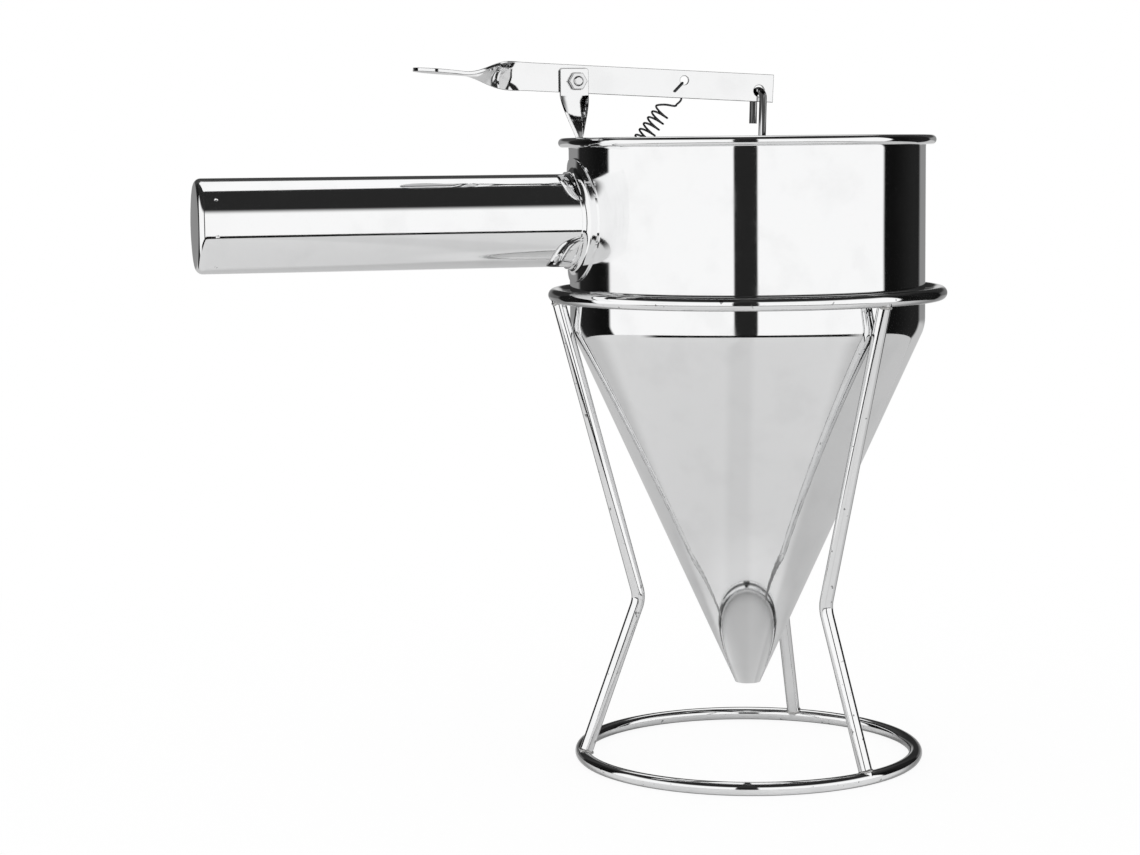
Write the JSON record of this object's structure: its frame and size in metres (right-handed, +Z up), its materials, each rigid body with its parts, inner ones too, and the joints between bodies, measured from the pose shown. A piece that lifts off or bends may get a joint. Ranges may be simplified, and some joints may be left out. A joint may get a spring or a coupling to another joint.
{
  "type": "pancake batter dispenser",
  "caption": "Steel batter funnel with a tube handle and a sprung thumb lever that lifts a stopper rod off the outlet, standing in a bent-wire stand.",
  "frame": {"origin": "on the table, at the axis of the stand and funnel", "axes": "+Z up along the funnel's axis; the handle points to -X; the lever lies in the XZ plane"},
  "size_m": [0.2898, 0.1538, 0.2715],
  "materials": {
    "polished_steel": "mirror polished",
    "strip_steel": "polished strip",
    "wire_steel": "polished wire",
    "spring_steel": "bright spring wire",
    "fastener_steel": "bright machine screw and nut",
    "turned_steel": "fine turned"
  },
  "bodies": {
    "stand": {"stand_top_ring": "wire_steel", "stand_base_ring": "wire_steel", "stand_leg_1": "wire_steel", "stand_leg_2": "wire_steel", "stand_leg_3": "wire_steel"},
    "funnel": {"funnel_bowl": "polished_steel", "funnel_cone": "polished_steel", "handle_flange": "polished_steel", "handle_tube": "polished_steel", "handle_cap": "polished_steel", "lever_bracket": "strip_steel", "pivot_screw": "fastener_steel", "pivot_nut": "fastener_steel", "return_spring": "spring_steel"},
    "lever": {"lever": "strip_steel"},
    "stopper": {"stopper_rod": "wire_steel", "stopper_plug": "turned_steel"}
  },
  "joints": [
    {"name": "funnel_lift", "type": "slide", "parent": "stand", "child": "funnel", "axis": [0, 0, 1], "range_m": [0, 0.16]},
    {"name": "lever_pivot", "type": "hinge", "parent": "funnel", "child": "lever", "pos_m": [-0.0675, 0, 0.26386], "axis": [0, -1, 0], "range_deg": [0, 30], "stiffness_Nm_per_rad": 0.64, "springref_deg": -22.35, "deforming": ["return_spring"]},
    {"name": "rod_hook", "type": "hinge", "parent": "lever", "child": "stopper", "pos_m": [0.0049, 0, 0.26005], "axis": [0, -1, 0], "range_deg": [-30, 0]}
  ],
  "couplings": [
    {"joint": "rod_hook", "follows": "lever_pivot", "ratio": -1}
  ]
}
